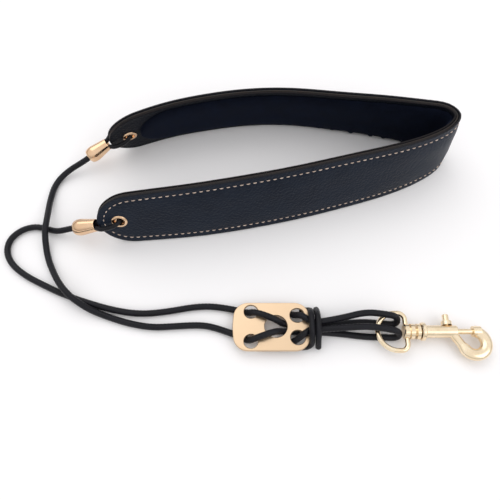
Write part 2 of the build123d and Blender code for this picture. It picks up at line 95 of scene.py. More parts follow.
table_mesh = bpy.data.meshes.new("table_top")
reach = 3.0
table_mesh.from_pydata(
    [(-reach, -reach, 0), (reach, -reach, 0), (reach, reach, 0), (-reach, reach, 0)],
    [], [(0, 1, 2, 3)],
)
table_top = bpy.data.objects.new("table_top", table_mesh)
bpy.context.collection.objects.link(table_top)
table_paint = bpy.data.materials.new("white_table")
table_paint.use_nodes = True
paint = table_paint.node_tree.nodes["Principled BSDF"]
paint.inputs["Base Color"].default_value = (0.93, 0.915, 0.915, 1.0)
paint.inputs["Roughness"].default_value = 0.6
paint.inputs["Specular IOR Level"].default_value = 0.2
table_mesh.materials.append(table_paint)

# ---------------------------------------------------------------- free cords
# Two lengths of round black polyester braid, 4 mm thick, one from each end of the band. Each
# leaves its ferrule, drops to the table and runs in loose curves to the underside of the plate.


def smooth_run(name, points):
    """Dense points of the NURBS line, order 3, that has the given points as its control points."""
    line = bpy.data.curves.new(name, "CURVE")
    line.dimensions = "3D"
    line.resolution_u = 40
    spline = line.splines.new("NURBS")
    spline.points.add(len(points) - 1)
    control = np.ones((len(points), 4))
    control[:, :3] = np.array(points) * MM
    spline.points.foreach_set("co", control.ravel())
    spline.order_u = 3
    spline.use_endpoint_u = True
    holder = bpy.data.objects.new(name, line)
    mesh = bpy.data.meshes.new_from_object(holder)
    dense = np.empty(3 * len(mesh.vertices))
    mesh.vertices.foreach_get("co", dense)
    bpy.data.objects.remove(holder)
    bpy.data.curves.remove(line)
    bpy.data.meshes.remove(mesh)
    return dense.reshape(-1, 3)


def woven_mesh(name, grid, wrap_rows, cap_ends, material, uv=None):
    """Mesh of a grid of points: rows along, columns around and joined up. wrap_rows joins the last
    row to the first; cap_ends closes the two end rows with a fan round their mean point."""
    rows, columns = grid.shape[:2]
    row = np.arange(rows if wrap_rows else rows - 1)[:, None]
    column = np.arange(columns)[None, :]
    here = row * columns + column
    right = row * columns + (column + 1) % columns
    above = (row + 1) % rows * columns + column
    beyond = (row + 1) % rows * columns + (column + 1) % columns
    quads = np.stack([here, right, beyond, above], -1).reshape(-1, 4)
    points = grid.reshape(-1, 3)
    faces = quads.tolist()
    if cap_ends:
        points = np.vstack([points, grid[0].mean(0), grid[-1].mean(0)])
        ring = np.arange(columns)
        after = (ring + 1) % columns
        hub = rows * columns
        last = (rows - 1) * columns
        faces += np.stack([after, ring, np.full(columns, hub)], -1).tolist()
        faces += np.stack([last + ring, last + after, np.full(columns, hub + 1)], -1).tolist()
    mesh = bpy.data.meshes.new(name)
    mesh.from_pydata(points.tolist(), [], faces)
    mesh.polygons.foreach_set("use_smooth", np.ones(len(faces), dtype=bool))
    if uv is not None:
        across, along = uv
        corners = np.zeros((len(mesh.loops), 2))
        wide = np.tile(np.arange(columns), rows if wrap_rows else rows - 1)
        tall = np.repeat(np.arange(rows if wrap_rows else rows - 1), columns)
        corner_u = np.stack([wide, wide + 1, wide + 1, wide], -1).ravel() * across
        corner_v = np.stack([tall, tall, tall + 1, tall + 1], -1).ravel() * along
        corners[: len(corner_u), 0] = corner_u
        corners[: len(corner_v), 1] = corner_v
        mesh.uv_layers.new(name="along_piece").data.foreach_set("uv", corners.ravel())
    mesh.materials.append(material)
    mesh.validate()
    piece = bpy.data.objects.new(name, mesh)
    bpy.context.collection.objects.link(piece)
    return piece


def braided_cord(name, line, width, strands, pitch, around, material, step=0.3 * MM):
    """Round braid along a dense line. Its radius at an angle and a distance is set by two families
    of helical strands, one each way round, which pass over each other in turn: each strand is
    crowned across its width and dips where it goes under the next."""
    run_length = np.concatenate([[0], np.cumsum(np.linalg.norm(np.diff(line, axis=0), axis=1))])
    along = np.linspace(0, run_length[-1], int(run_length[-1] / step))
    centre = np.stack([np.interp(along, run_length, line[:, axis]) for axis in range(3)], -1)
    forward = np.gradient(centre, axis=0)
    forward /= np.linalg.norm(forward, axis=1)[:, None]
    sideways = np.cross((0.0, 0.0, 1.0), forward)
    sideways /= np.linalg.norm(sideways, axis=1)[:, None]
    upward = np.cross(forward, sideways)
    angle = np.linspace(0, 2 * np.pi, around, endpoint=False)
    turn = strands * angle[None, :] / (2 * np.pi)
    travel = along[:, None] / pitch
    left, right = turn + travel, turn - travel
    left_over = (np.floor(left) + np.floor(right)) % 2 == 0
    across_left = np.sin(np.pi * (left % 1))
    across_right = np.sin(np.pi * (right % 1))
    crown = np.where(
        left_over,
        across_left * (0.45 + 0.55 * across_right),
        across_right * (0.45 + 0.55 * across_left),
    )
    radius = width / 2 * (0.87 + 0.15 * np.sqrt(crown))
    grid = centre[:, None, :] + radius[..., None] * (
        np.cos(angle)[None, :, None] * sideways[:, None, :]
        + np.sin(angle)[None, :, None] * upward[:, None, :]
    )
    braid = woven_mesh(name, grid, False, True, material, uv=(strands / around, step / pitch))
    return braid, centre


def shader(name, colour, roughness, metallic=0.0):
    """New material with one Principled shader, and its nodes and links for more to be added."""
    material = bpy.data.materials.new(name)
    material.use_nodes = True
    nodes = material.node_tree.nodes
    surface = nodes["Principled BSDF"]
    surface.inputs["Base Color"].default_value = (*colour, 1.0)
    surface.inputs["Roughness"].default_value = roughness
    surface.inputs["Metallic"].default_value = metallic
    return material, nodes, material.node_tree.links, surface


def new_group(name, inputs, outputs):
    """Empty node group with named float or colour inputs and outputs."""
    group = bpy.data.node_groups.new(name, "ShaderNodeTree")
    kinds = {"value": "NodeSocketFloat", "colour": "NodeSocketColor", "vector": "NodeSocketVector"}
    for label, kind, default in inputs:
        socket = group.interface.new_socket(label, in_out="INPUT", socket_type=kinds[kind])
        socket.default_value = default
    for label, kind in outputs:
        group.interface.new_socket(label, in_out="OUTPUT", socket_type=kinds[kind])
    entry = group.nodes.new("NodeGroupInput")
    leave = group.nodes.new("NodeGroupOutput")
    return group, entry, leave


def placed(nodes, group, **values):
    """The group as a node of a material, with its own values."""
    node = nodes.new("ShaderNodeGroup")
    node.node_tree = group
    for label, value in values.items():
        node.inputs[label].default_value = value
    return node


# Fine cloudiness that every dark material has: paler, rougher patches where it is rubbed.
rubbed, rubbed_in, rubbed_out = new_group(
    "rubbed",
    [("Size", "value", 60.0), ("Dark", "colour", (0, 0, 0, 1)), ("Pale", "colour", (1, 1, 1, 1)),
     ("Least", "value", 0.3), ("Most", "value", 0.6)],
    [("Colour", "colour"), ("Roughness", "value")],
)
place = rubbed.nodes.new("ShaderNodeTexCoord")
cloud = rubbed.nodes.new("ShaderNodeTexNoise")
cloud.inputs["Detail"].default_value = 5.0
blend_colour = rubbed.nodes.new("ShaderNodeMix")
blend_colour.data_type = "RGBA"
spread = rubbed.nodes.new("ShaderNodeMapRange")
spread.inputs["From Min"].default_value = 0.35
spread.inputs["From Max"].default_value = 0.7
rough_range = rubbed.nodes.new("ShaderNodeMapRange")
links = rubbed.links
links.new(place.outputs["Object"], cloud.inputs["Vector"])
links.new(rubbed_in.outputs["Size"], cloud.inputs["Scale"])
links.new(cloud.outputs["Fac"], spread.inputs["Value"])
links.new(spread.outputs["Result"], blend_colour.inputs["Factor"])
links.new(rubbed_in.outputs["Dark"], blend_colour.inputs["A"])
links.new(rubbed_in.outputs["Pale"], blend_colour.inputs["B"])
links.new(spread.outputs["Result"], rough_range.inputs["Value"])
links.new(rubbed_in.outputs["Least"], rough_range.inputs["To Min"])
links.new(rubbed_in.outputs["Most"], rough_range.inputs["To Max"])
links.new(blend_colour.outputs["Result"], rubbed_out.inputs["Colour"])
links.new(rough_range.outputs["Result"], rubbed_out.inputs["Roughness"])

cord_black, nodes, links, surface = shader("black_braid", (0.004, 0.004, 0.006), 0.4)
surface.inputs["Specular IOR Level"].default_value = 0.24
surface.inputs["Sheen Weight"].default_value = 0.02
cord_wear = placed(
    nodes, rubbed, Size=90.0, Dark=(0.002, 0.002, 0.004, 1),
    Pale=(0.006, 0.006, 0.010, 1), Least=0.28, Most=0.46,
)
links.new(cord_wear.outputs["Colour"], surface.inputs["Base Color"])
links.new(cord_wear.outputs["Roughness"], surface.inputs["Roughness"])
yarn_place = nodes.new("ShaderNodeUVMap")
yarn_place.uv_map = "along_piece"
yarn_turn = nodes.new("ShaderNodeMapping")
yarn_turn.inputs["Rotation"].default_value = (0, 0, math.radians(45))
yarn_lines = nodes.new("ShaderNodeTexWave")
yarn_lines.inputs["Scale"].default_value = 3.0
yarn_lines.inputs["Distortion"].default_value = 1.5
yarn_bump = nodes.new("ShaderNodeBump")
yarn_bump.inputs["Strength"].default_value = 0.25
yarn_bump.inputs["Distance"].default_value = 0.1 * MM
links.new(yarn_place.outputs["UV"], yarn_turn.inputs["Vector"])
links.new(yarn_turn.outputs["Vector"], yarn_lines.inputs["Vector"])
links.new(yarn_lines.outputs["Fac"], yarn_bump.inputs["Height"])
links.new(yarn_bump.outputs["Normal"], surface.inputs["Normal"])

cord_d = 4.0
lying_z = cord_d / 2 + 0.1
free_routes = {
    "cord_front": [
        (-121.3, -6, 11.7), (-126.8, -5.6, 9.8), (-131.5, -5.4, 8.1),
        (-141, -5.5, 4.4), (-149, -2.1, lying_z), (-157, -0.3, lying_z),
        (-165.5, -2.9, lying_z), (-171.9, -9.9, lying_z), (-172.1, -19.4, lying_z),
        (-166.5, -28.4, lying_z), (-156.5, -35.9, lying_z), (-143.5, -42.5, lying_z),
        (-130.5, -48.5, lying_z), (-115.5, -53.8, lying_z), (-98.5, -58.8, lying_z),
        (-81.5, -61.5, lying_z), (-64.5, -59.8, lying_z), (-47.5, -56.5, lying_z),
        (-33.5, -56.5, lying_z), (-21.7, -59.1, lying_z),
    ],
    "cord_back": [
        (-120.9, 53.1, 11.7), (-125.7, 50.4, 9.8), (-129.8, 48.1, 8.1),
        (-140, 43.2, 4.8), (-146.5, 37.6, lying_z + 0.4), (-149.7, 30.2, lying_z),
        (-150.1, 19.1, 3.0), (-148.4, 7.6, 6.4), (-147.5, 0.1, 8.0), (-147.7, -5.9, 7.4),
        (-147.1, -14.4, 3.4), (-144.1, -24.4, lying_z), (-139.1, -33.4, 3.4),
        (-132.5, -42.9, 7.2), (-126.9, -49.2, 8.0), (-121.3, -53.9, 7.2), (-112.1, -59.1, 3.6),
        (-100.5, -63.3, lying_z), (-87, -67.5, lying_z), (-73, -69.9, lying_z),
        (-58.5, -69, lying_z), (-44, -68.2, lying_z), (-33.5, -70.3, lying_z),
        (-21.7, -74.9, lying_z),
    ],
}
for cord_name, cord_points in free_routes.items():
    cord_line = smooth_run(cord_name, cord_points)
    cord_piece, cord_centre = braided_cord(
        cord_name + "_braid", cord_line, cord_d * MM, 6, 2.1 * MM, 42, cord_black
    )
    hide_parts(cord_name)
    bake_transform(cord_piece)

# ---------------------------------------------------------------- adjuster plate
# A champagne gold plate with five holes, pressed from 2 mm brass, brushed along its length and
# then plated. The cord laced through its holes grips it where it is pushed along the cord.
plate_gold, nodes, links, surface = shader("brushed_champagne", (0.74, 0.545, 0.36), 0.3, 1.0)
brush_place = nodes.new("ShaderNodeTexCoord")
brush_stretch = nodes.new("ShaderNodeMapping")
brush_stretch.inputs["Scale"].default_value = (60.0, 2600.0, 2600.0)
brush_noise = nodes.new("ShaderNodeTexNoise")
brush_noise.inputs["Scale"].default_value = 1.0
brush_noise.inputs["Detail"].default_value = 3.0
brush_bump = nodes.new("ShaderNodeBump")
brush_bump.inputs["Strength"].default_value = 0.18
brush_bump.inputs["Distance"].default_value = 0.05 * MM
brush_rough = nodes.new("ShaderNodeMapRange")
brush_rough.inputs["To Min"].default_value = 0.24
brush_rough.inputs["To Max"].default_value = 0.46
links.new(brush_place.outputs["Object"], brush_stretch.inputs["Vector"])
links.new(brush_stretch.outputs["Vector"], brush_noise.inputs["Vector"])
links.new(brush_noise.outputs["Fac"], brush_bump.inputs["Height"])
links.new(brush_noise.outputs["Fac"], brush_rough.inputs["Value"])
links.new(brush_rough.outputs["Result"], surface.inputs["Roughness"])
links.new(brush_bump.outputs["Normal"], surface.inputs["Normal"])


def refinish(node, material):
    """Gives a CAD node a material of this scene in place of its plain one."""
    for place_in_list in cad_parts[node].material_slots:
        place_in_list.link = "OBJECT"
        place_in_list.material = material


refinish("adjuster_plate", plate_gold)

# ---------------------------------------------------------------- cord laced through the plate
# Each cord comes up a left hole, crosses the plate and dives down the middle hole, runs out to
# the eye and back, and comes down a right hole. Two hitch turns bind the four strands.
plate_x, plate_y = -1.4, -70.4
plate_top = 6.6
over_z = plate_top + cord_d / 2 + 0.15
pair_y = cord_d / 2 + 0.05
lace_end_x = 25.5
left_hole = (plate_x - 12.3, 9.1)
right_hole = (plate_x + 15.5, 6.8)
dive_x = 3.4
rise = 2.6
tail_end_z = over_z - 1.6
ring_left = 61.5
bight_end_x = 74.2
arc_over_z = 10.2


def laced_route(side, entry, y_low, y_turn_low, y_turn_high, y_high):
    """Route of one cord from under the plate to the eye and back under the plate again."""
    hole_y = plate_y + side * left_hole[1]
    tail_y = plate_y + side * right_hole[1]
    y_start = plate_y + side * (pair_y + 0.1)
    out = [
        (left_hole[0] - rise - 5.4, hole_y + entry, lying_z),
        (left_hole[0] - rise + 0.2, hole_y + 0.25 * entry, lying_z),
        (left_hole[0] + rise, hole_y - side, over_z + 0.5),
        (dive_x - rise, plate_y + side * (pair_y + 1.6), over_z + 0.45),
        (dive_x + rise + 0.6, plate_y + side * pair_y, lying_z),
        (lace_end_x, y_start, lying_z),
        (lace_end_x + 15, y_start + 0.4 * (y_low - y_start), lying_z),
        (ring_left - 8, y_low, lying_z),
        (ring_left + 3, 0.5 * (y_low + y_turn_low), lying_z),
        (bight_end_x, y_turn_low, lying_z + 0.2),
    ]
    back = [
        (bight_end_x - 0.4, y_turn_high, arc_over_z - 1.2),
        (ring_left + 4, 0.5 * (y_high + y_turn_high), arc_over_z + 0.1),
        (ring_left - 7, y_high, arc_over_z),
        (lace_end_x + 15, 0.4 * y_high + 0.6 * y_start, over_z + 0.2),
        (lace_end_x, y_start, tail_end_z),
        (lace_end_x - 4.2, plate_y + side * (pair_y + 0.6), over_z - 0.1),
        (right_hole[0] + rise - 0.3, tail_y - side * 0.6, over_z + 0.4),
        (right_hole[0] - rise + 0.3, tail_y + side * 1.6, lying_z),
        (right_hole[0] - rise - 3.6, tail_y + side * 3.0, lying_z),
    ]
    return out + back


for end, side, entry, turns in (
    ("front", 1, 2.2, (-66.3, -68.2, -65.1, -62.8)),
    ("back", -1, 4.6, (-75.5, -76.3, -74.3, -71.5)),
):
    laced_line = smooth_run("laced_" + end, laced_route(side, entry, *turns))
    laced = braided_cord(
        "laced_" + end, laced_line, cord_d * MM, 6, 2.1 * MM, 42, cord_black
    )[0]
    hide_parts("lacing_" + end, "tail_" + end, "bight_" + end)
    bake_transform(laced)

hitch_d = 3.6
hitch_top = tail_end_z + 1.3 + cord_d / 2 + hitch_d / 2 + 0.15
for index in range(2):
    hitch_x = lace_end_x - 3.6 + index * (hitch_d + 0.1)
    tuck = 6.0
    hitch_points = [
        (hitch_x - tuck, plate_y + 11.0, lying_z + 0.1),
        (hitch_x + 0.6, plate_y + 11.8, lying_z + 0.5),
        (hitch_x, plate_y + 6.8, hitch_top - 0.2),
        (hitch_x + 0.2, plate_y, hitch_top + 0.5),
        (hitch_x, plate_y - 6.8, hitch_top - 0.2),
        (hitch_x + 0.6, plate_y - 11.8, lying_z + 0.5),
        (hitch_x - tuck, plate_y - 11.6, lying_z + 0.1),
    ]
    if index == 1:
        hitch_points = hitch_points[1:-1]
    hitch_name = f"hitch_turn_{index + 1}"
    hitch_line = smooth_run(hitch_name, hitch_points)
    hitch = braided_cord(
        hitch_name + "_braid", hitch_line, hitch_d * MM, 6, 2.0 * MM, 42, cord_black
    )[0]
    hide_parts(hitch_name)
    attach(hitch, "adjuster")

# ---------------------------------------------------------------- outer leather of the band
# Pebbled navy cowhide, 45 mm wide and half a metre long, folded in two and standing on its edge.
# It is sewn to the backing along both edges, so it is drawn in along the seam and crowned between.
band_plan = np.array([
    (-109.7, -10), (-96.5, -9.4), (-80.5, -8.2), (-47.5, -5), (-14.5, 0.6), (19.5, 8.3),
    (53.5, 18.1), (89.5, 31.1), (106.5, 40.1), (118, 49.6), (121.8, 58.1), (116.5, 67.1),
    (103.5, 72.1),
    (79.5, 78.1), (43.5, 84.8), (13.5, 88.5), (-14.5, 88.1), (-47.5, 83.1), (-70.5, 77.6),
    (-87.5, 71.7), (-97.5, 67.7), (-112.3, 62.2),
])
band_width, band_end_width, taper_length, tip_length = 45.0, 39.0, 95.0, 22.0
leather_t = 4.3
core_outside, core_inside = -0.85, 0.95
arm_lean, fold_lean_change, fold_spread = 13.0, 9.0, 60.0


def through_points(points, count):
    """Natural cubic curve through the points, with the chord length as its parameter: on each span
    it is the straight mix of the ends plus a cubic term for the bending at each end."""
    chord = np.concatenate([[0], np.cumsum(np.linalg.norm(np.diff(points, axis=0), axis=1))])
    span = np.diff(chord)
    middle = np.arange(1, len(points) - 1)
    balance = np.eye(len(points))
    balance[middle, middle - 1] = span[:-1]
    balance[middle, middle] = 2 * (span[:-1] + span[1:])
    balance[middle, middle + 1] = span[1:]
    slope = np.diff(points, axis=0) / span[:, None]
    load = np.zeros_like(points)
    load[middle] = 6 * (slope[1:] - slope[:-1])
    bending = np.linalg.solve(balance, load)
    at = np.linspace(0, chord[-1], count)
    k = np.clip(np.searchsorted(chord, at, side="right") - 1, 0, len(span) - 1)
    far = ((at - chord[k]) / span[k])[:, None]
    near = 1 - far
    cubic = (near ** 3 - near) * bending[k] + (far ** 3 - far) * bending[k + 1]
    return near * points[k] + far * points[k + 1] + cubic * span[k][:, None] ** 2 / 6


band_curve = through_points(band_plan, 6001)
band_travel = np.concatenate([[0], np.cumsum(np.linalg.norm(np.diff(band_curve, axis=0), axis=1))])
band_length = band_travel[-1]
band_run = np.gradient(band_curve, band_travel, axis=0)
band_run /= np.linalg.norm(band_run, axis=1)[:, None]


def on_band(s, depth, height):
    """Points of the band, in metres, at a distance along it, a depth inwards from its middle layer
    and a height up its leaning face. All three are arrays of one shape, in millimetres."""
    from_fold = (s - band_length / 2) / fold_spread
    lean = np.radians(arm_lean - fold_lean_change * np.exp(-(from_fold ** 2)))
    plan = np.stack([np.interp(s, band_travel, band_curve[:, axis]) for axis in range(2)], -1)
    run = np.stack([np.interp(s, band_travel, band_run[:, axis]) for axis in range(2)], -1)
    run /= np.linalg.norm(run, axis=-1)[..., None]
    across = depth * np.cos(lean) + height * np.sin(lean)
    lift = height * np.cos(lean) - depth * np.sin(lean) + leather_t / 2 * np.sin(lean)
    return MM * np.stack(
        [plan[..., 0] - run[..., 1] * across, plan[..., 1] + run[..., 0] * across, lift], -1
    )


def half_height(s, start, inset):
    """Half the height of a layer, and the middle's height, at a distance along the band: the band
    narrows towards its ends by a square law, and each end is half an ellipse."""
    from_end = np.minimum(s, band_length - s)
    narrowing = np.maximum(0, 1 - from_end / taper_length) ** 2
    width = band_width - (band_width - band_end_width) * narrowing
    tip = tip_length - (start if start < tip_length else 0)
    short = np.clip(1 - (from_end - start) / tip, 0, 1)
    return (width / 2 - inset) * np.sqrt(1 - short ** 2), width / 2


def band_rows(start, spacing, end_rows=16):
    """Distances along the band: packed closer in each rounded end as the cosine of an angle."""
    tip = tip_length - (start if start < tip_length else 0)
    near = start + tip * (1 - np.cos(np.linspace(0.02, np.pi / 2, end_rows)))
    inside = band_length - 2 * near[-1]
    middle = near[-1] + np.linspace(0, inside, int(inside / spacing))[1:-1]
    return np.concatenate([near, middle, (band_length - near)[::-1]])


def fade(value, low, high):
    """Smooth step from 0 to 1 between low and high."""
    t = np.clip((value - low) / (high - low), 0, 1)
    return t * t * (3 - 2 * t)


def edge_columns(count):
    """Places up a face from -1 at its lower edge to 1 at its upper edge, closer near the edges."""
    return np.sin(np.linspace(-np.pi / 2, np.pi / 2, count))


def leather_sheet(name, outside, inside, start, inset, columns, relief, material, spacing=1.6):
    """Closed sheet of the band between two depths: up its outer face and down its inner face, with
    its edges rounded over. relief gives how far each face stands out at a place."""
    s = band_rows(start, spacing)[:, None]
    up = edge_columns(columns)
    up_and_down = np.concatenate([up, up[::-1]])[None, :]
    outer = np.concatenate([np.ones(columns, bool), np.zeros(columns, bool)])[None, :]
    half, middle = half_height(s, start, inset)
    from_edge = half * (1 - np.abs(up_and_down))
    round_r = min(0.6, (inside - outside) / 2)
    sink = round_r * (1 - np.sqrt(1 - np.clip(1 - from_edge / round_r, 0, 1) ** 2))
    stand = relief(s + 0 * up_and_down, from_edge, middle + up_and_down * half, outer)
    depth = np.where(outer, outside + sink - stand, inside - sink + stand)
    s_grid = s + 0 * up_and_down
    grid = on_band(s_grid, depth, middle + up_and_down * half)
    piece = woven_mesh(name, grid, False, True, material)
    mark = piece.data.attributes.new("from_edge", "FLOAT", "POINT")
    values = np.concatenate([from_edge.ravel(), [0.0, 0.0]])
    mark.data.foreach_set("value", values)
    return piece


seam_inset = 4.3


def outer_relief(s, from_edge, height, outer):
    """Crown between the seams, sunk line along the seam, and shallow creases across the fold."""
    from_end = np.minimum(s, band_length - s)
    crown = 0.55 * fade(from_edge, 3.0, 14.0) * fade(from_end, 24.0, 60.0)
    seam = -0.28 * np.exp(-(((from_edge - seam_inset) / 0.7) ** 2))
    seam = seam + 0.12 * fade(from_edge, 4.5, 6.5)
    at_fold = np.exp(-(((s - band_length / 2) / 34.0) ** 2))
    crease = 0.10 * np.sin(s * 1.55 + 0.9 * np.sin(height * 0.21)) * at_fold
    return np.where(outer, crown + seam + crease, 0.0)


# Pebbled grain shared by the two leathers: rounded cells with fine creases between them.
grain, grain_in, grain_out = new_group(
    "pebbled_grain",
    [("Cells", "value", 680.0), ("Depth", "value", 0.4)],
    [("Normal", "vector")],
)
links = grain.links
place = grain.nodes.new("ShaderNodeTexCoord")
wander = grain.nodes.new("ShaderNodeTexNoise")
wander.inputs["Scale"].default_value = 420.0
wander.inputs["Detail"].default_value = 2.0
shift = grain.nodes.new("ShaderNodeVectorMath")
shift.operation = "MULTIPLY_ADD"
shift.inputs[1].default_value = (0.0012, 0.0012, 0.0012)
cells = grain.nodes.new("ShaderNodeTexVoronoi")
cells.feature = "SMOOTH_F1"
cells.inputs["Smoothness"].default_value = 0.35
fine = grain.nodes.new("ShaderNodeTexNoise")
fine.inputs["Scale"].default_value = 2600.0
fine.inputs["Detail"].default_value = 3.0
both = grain.nodes.new("ShaderNodeMath")
both.operation = "MULTIPLY_ADD"
both.inputs[1].default_value = 0.22
lift = grain.nodes.new("ShaderNodeBump")
lift.invert = True
lift.inputs["Distance"].default_value = 0.4 * MM
links.new(place.outputs["Object"], wander.inputs["Vector"])
links.new(wander.outputs["Color"], shift.inputs[0])
links.new(place.outputs["Object"], shift.inputs[2])
links.new(shift.outputs["Vector"], cells.inputs["Vector"])
links.new(grain_in.outputs["Cells"], cells.inputs["Scale"])
links.new(place.outputs["Object"], fine.inputs["Vector"])
links.new(fine.outputs["Fac"], both.inputs[0])
links.new(cells.outputs["Distance"], both.inputs[2])
links.new(both.outputs["Value"], lift.inputs["Height"])
links.new(grain_in.outputs["Depth"], lift.inputs["Strength"])
links.new(lift.outputs["Normal"], grain_out.inputs["Normal"])


def leather(name, dark, pale, edge_colour, least, most, depth, specular):
    """Pebbled leather with rubbed patches, and a painted edge where the cut side shows."""
    material, nodes, links, surface = shader(name, dark, least)
    surface.inputs["Specular IOR Level"].default_value = specular
    wear = placed(
        nodes, rubbed, Size=55.0, Dark=(*dark, 1), Pale=(*pale, 1), Least=least, Most=most
    )
    pebbles = placed(nodes, grain, Depth=depth)
    edge = nodes.new("ShaderNodeAttribute")
    edge.attribute_name = "from_edge"
    near_edge = nodes.new("ShaderNodeMapRange")
    near_edge.inputs["From Min"].default_value = 0.9
    near_edge.inputs["From Max"].default_value = 0.15
    tint = nodes.new("ShaderNodeMix")
    tint.data_type = "RGBA"
    tint.inputs["B"].default_value = (*edge_colour, 1)
    links.new(edge.outputs["Fac"], near_edge.inputs["Value"])
    links.new(near_edge.outputs["Result"], tint.inputs["Factor"])
    links.new(wear.outputs["Colour"], tint.inputs["A"])
    links.new(tint.outputs["Result"], surface.inputs["Base Color"])
    links.new(wear.outputs["Roughness"], surface.inputs["Roughness"])
    links.new(pebbles.outputs["Normal"], surface.inputs["Normal"])
    return material


outer_hide = leather(
    "navy_cowhide", (0.0048, 0.0088, 0.0185), (0.0092, 0.0150, 0.0275), (0.012, 0.011, 0.013),
    least=0.36, most=0.5, depth=0.75, specular=0.16,
)
outer_leather = leather_sheet(
    "band_outer_leather", -leather_t / 2, core_outside, 0.0, 0.0, 44, outer_relief, outer_hide
)
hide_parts("outer_leather")
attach(outer_leather, "strap")

# ---------------------------------------------------------------- foam core and backing leather
# A 1.8 mm foam core lies between the two leathers and shows only as a dark line in the cut edge.
# The backing is thinner leather, and makes the margin round the lining inside the band.
core_rubber, nodes, links, surface = shader("dark_core", (0.018, 0.013, 0.011), 0.8)
core_wear = placed(
    nodes, rubbed, Size=260.0, Dark=(0.010, 0.008, 0.007, 1),
    Pale=(0.032, 0.022, 0.018, 1), Least=0.65, Most=0.9,
)
links.new(core_wear.outputs["Colour"], surface.inputs["Base Color"])
links.new(core_wear.outputs["Roughness"], surface.inputs["Roughness"])


def no_relief(s, from_edge, height, outer):
    """Flat on both faces."""
    return 0.0 * from_edge


core = leather_sheet(
    "band_core", core_outside, core_inside, 0.35, 0.35, 8, no_relief, core_rubber, spacing=3.0
)
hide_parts("foam_core")
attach(core, "strap")


def backing_relief(s, from_edge, height, outer):
    """The inner face is sunk along the seam."""
    seam = -0.22 * np.exp(-(((from_edge - seam_inset + 0.6) / 0.8) ** 2))
    return np.where(outer, 0.0, seam)


backing_hide = leather(
    "dark_backing_hide", (0.0032, 0.0046, 0.0085), (0.0070, 0.0085, 0.0140), (0.012, 0.010, 0.011),
    least=0.42, most=0.58, depth=0.7, specular=0.12,
)
backing = leather_sheet(
    "band_backing_leather", core_inside, leather_t / 2, 0.0, 0.0, 30, backing_relief, backing_hide
)
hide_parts("backing_leather")
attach(backing, "strap")

# ---------------------------------------------------------------- lining pad
# Soft navy plush over thin wadding, glued inside the band for the neck. It is stuck down flat on
# the arms; inside the fold it has too much length, so it bulges and puckers along its edges.
plush, nodes, links, surface = shader("navy_plush", (0.002, 0.003, 0.008), 0.95)
surface.inputs["Specular IOR Level"].default_value = 0.08
surface.inputs["Sheen Weight"].default_value = 0.05
surface.inputs["Sheen Roughness"].default_value = 0.6
surface.inputs["Sheen Tint"].default_value = (0.25, 0.35, 0.7, 1.0)
plush_wear = placed(
    nodes, rubbed, Size=120.0, Dark=(0.0012, 0.002, 0.006, 1),
    Pale=(0.0035, 0.0055, 0.013, 1), Least=0.85, Most=1.0,
)
fibres = nodes.new("ShaderNodeTexNoise")
fibres.inputs["Scale"].default_value = 3800.0
fibres.inputs["Detail"].default_value = 4.0
nap = nodes.new("ShaderNodeBump")
nap.inputs["Strength"].default_value = 0.5
nap.inputs["Distance"].default_value = 0.2 * MM
nap_place = nodes.new("ShaderNodeTexCoord")
links.new(nap_place.outputs["Object"], fibres.inputs["Vector"])
links.new(fibres.outputs["Fac"], nap.inputs["Height"])
links.new(nap.outputs["Normal"], surface.inputs["Normal"])
links.new(plush_wear.outputs["Colour"], surface.inputs["Base Color"])
links.new(plush_wear.outputs["Roughness"], surface.inputs["Roughness"])

lining_start, lining_inset = 21.5, 3.4
lining_back, lining_t = 2.22, 2.2
lining_s = np.concatenate([
    lining_start + tip_length * (1 - np.cos(np.linspace(0.03, np.pi / 2, 18))),
    np.linspace(lining_start + tip_length, band_length - lining_start - tip_length, 420)[1:-1],
    (band_length - lining_start
     - tip_length * (1 - np.cos(np.linspace(0.03, np.pi / 2, 18))))[::-1],
])[:, None]
face_up = edge_columns(34)
lining_up = np.concatenate([face_up, face_up[::-1][::4]])[None, :]
lining_front = np.concatenate([np.ones(34, bool), np.zeros(9, bool)])[None, :]
from_end = np.minimum(lining_s, band_length - lining_s)
narrowing = np.maximum(0, 1 - from_end / taper_length) ** 2
lining_width = band_width - (band_width - band_end_width) * narrowing
short = np.clip(1 - (from_end - lining_start) / tip_length, 0, 1)
lining_half = (lining_width / 2 - lining_inset) * np.sqrt(1 - short ** 2)
near_fold = np.exp(-(((lining_s - band_length / 2 - 45.0) / 62.0) ** 2))
pucker = (
    np.sin(lining_s * 0.52 + 0.6 * np.sin(lining_s * 0.11))
    + 0.6 * np.sin(lining_s * 0.83 + 1.9)
    + 0.35 * np.sin(lining_s * 1.31 + 0.5)
)
low_edge = np.clip(-lining_up, 0, 1) ** 2
high_edge = np.clip(lining_up, 0, 1) ** 2
plump = (1 - np.abs(lining_up) ** 5) ** 0.6
bulge = (0.9 * low_edge + 0.3 * high_edge + 0.12) * near_fold
lining_depth = lining_back + np.where(
    lining_front,
    plump * (lining_t + 0.9 * near_fold * low_edge + 0.42 * bulge * pucker) + 0.12,
    0.0,
)
lining_height = lining_width / 2 + lining_up * lining_half
lining_height = lining_height - low_edge * near_fold * (1.7 + 0.95 * pucker)
lining_height += high_edge * near_fold * (0.2 + 0.25 * pucker)
lining = woven_mesh(
    "band_lining", on_band(lining_s + 0 * lining_up, lining_depth, lining_height),
    False, True, plush,
)
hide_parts("lining_pad")
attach(lining, "strap")

